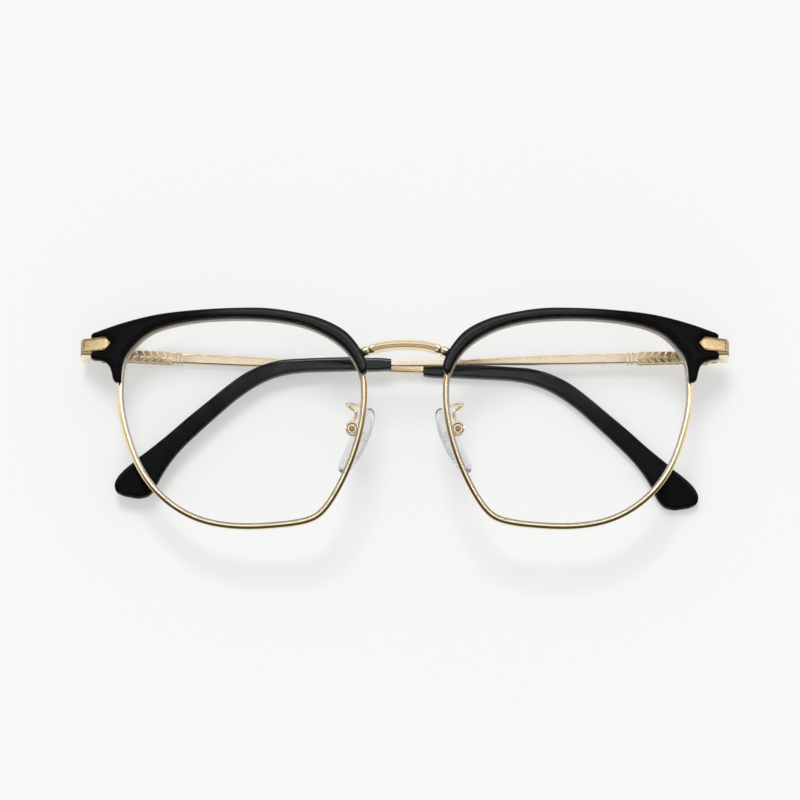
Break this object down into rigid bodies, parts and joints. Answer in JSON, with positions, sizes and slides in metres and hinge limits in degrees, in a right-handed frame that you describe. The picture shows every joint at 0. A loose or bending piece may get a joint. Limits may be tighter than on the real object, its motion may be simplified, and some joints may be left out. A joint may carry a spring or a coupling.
{
  "type": "browline spectacles",
  "caption": "Folded full-rim browline spectacles with metal rims, black brow bars, clear lenses, rocking nose pads and two hinged temples with plastic ends.",
  "frame": {"origin": "centre of the bounding box's underside in the folded pose, on the surface that the lower temple lies on", "axes": "+X towards the wearer's left side, +Y towards the brow, +Z out of the front of the lenses; the folded temples lie along X"},
  "size_m": [0.1466, 0.051, 0.0181],
  "materials": {
    "bridge": "polished gold-coloured plating",
    "rim_left": "satin gold-coloured plating",
    "lens_left": "clear, polished",
    "brow_bar_left": "satin black",
    "brow_screw_left": "bright",
    "end_piece_left": "brushed gold-coloured plating",
    "rim_block_upper_left": "satin gold-coloured plating",
    "rim_block_lower_left": "satin gold-coloured plating",
    "rim_screw_left": "bright",
    "hinge_front_left": "satin gold-coloured plating",
    "hinge_screw_left": "bright",
    "pad_arm_left": "polished gold-coloured plating",
    "pad_box_left": "polished gold-coloured plating",
    "pad_screw_left": "bright",
    "rim_right": "satin gold-coloured plating",
    "lens_right": "clear, polished",
    "brow_bar_right": "satin black",
    "brow_screw_right": "bright",
    "end_piece_right": "brushed gold-coloured plating",
    "rim_block_upper_right": "satin gold-coloured plating",
    "rim_block_lower_right": "satin gold-coloured plating",
    "rim_screw_right": "bright",
    "hinge_front_right": "satin gold-coloured plating",
    "hinge_screw_right": "bright",
    "pad_arm_right": "polished gold-coloured plating",
    "pad_box_right": "polished gold-coloured plating",
    "pad_screw_right": "bright",
    "hinge_temple_left": "satin gold-coloured plating",
    "temple_arm_left": "brushed pale gold-coloured plating",
    "temple_tip_left": "glossy dark slate blue, near black at the end",
    "hinge_temple_right": "satin gold-coloured plating",
    "temple_arm_right": "brushed pale gold-coloured plating",
    "temple_tip_right": "glossy dark slate blue, near black at the end",
    "nose_pad_left": "clear soft pad",
    "nose_pad_right": "clear soft pad"
  },
  "bodies": {
    "front": {"bridge": "bridge", "rim_left": "rim_left", "lens_left": "lens_left", "brow_bar_left": "brow_bar_left", "brow_screw_left": "brow_screw_left", "end_piece_left": "end_piece_left", "rim_block_upper_left": "rim_block_upper_left", "rim_block_lower_left": "rim_block_lower_left", "rim_screw_left": "rim_screw_left", "hinge_front_left": "hinge_front_left", "hinge_screw_left": "hinge_screw_left", "pad_arm_left": "pad_arm_left", "pad_box_left": "pad_box_left", "pad_screw_left": "pad_screw_left", "rim_right": "rim_right", "lens_right": "lens_right", "brow_bar_right": "brow_bar_right", "brow_screw_right": "brow_screw_right", "end_piece_right": "end_piece_right", "rim_block_upper_right": "rim_block_upper_right", "rim_block_lower_right": "rim_block_lower_right", "rim_screw_right": "rim_screw_right", "hinge_front_right": "hinge_front_right", "hinge_screw_right": "hinge_screw_right", "pad_arm_right": "pad_arm_right", "pad_box_right": "pad_box_right", "pad_screw_right": "pad_screw_right"},
    "temple_left": {"hinge_temple_left": "hinge_temple_left", "temple_arm_left": "temple_arm_left", "temple_tip_left": "temple_tip_left"},
    "temple_right": {"hinge_temple_right": "hinge_temple_right", "temple_arm_right": "temple_arm_right", "temple_tip_right": "temple_tip_right"},
    "nose_pad_left": {"nose_pad_left": "nose_pad_left"},
    "nose_pad_right": {"nose_pad_right": "nose_pad_right"}
  },
  "joints": [
    {"name": "temple_left_hinge", "type": "hinge", "parent": "front", "child": "temple_left", "pos_m": [0.07011, 0.01787, 0.00558], "axis": [0, -1, 0], "range_deg": [0, 93]},
    {"name": "temple_right_hinge", "type": "hinge", "parent": "front", "child": "temple_right", "pos_m": [-0.07007, 0.01837, 0.0032], "axis": [0, 1, 0], "range_deg": [0, 91]},
    {"name": "nose_pad_left_rock", "type": "hinge", "parent": "front", "child": "nose_pad_left", "pos_m": [0.01175, -0.00183, 0.01144], "axis": [-0.017, 0, 0.9999], "range_deg": [-8, 8]},
    {"name": "nose_pad_right_rock", "type": "hinge", "parent": "front", "child": "nose_pad_right", "pos_m": [-0.01194, -0.00183, 0.01104], "axis": [-0.017, 0, 0.9999], "range_deg": [-8, 8]}
  ]
}
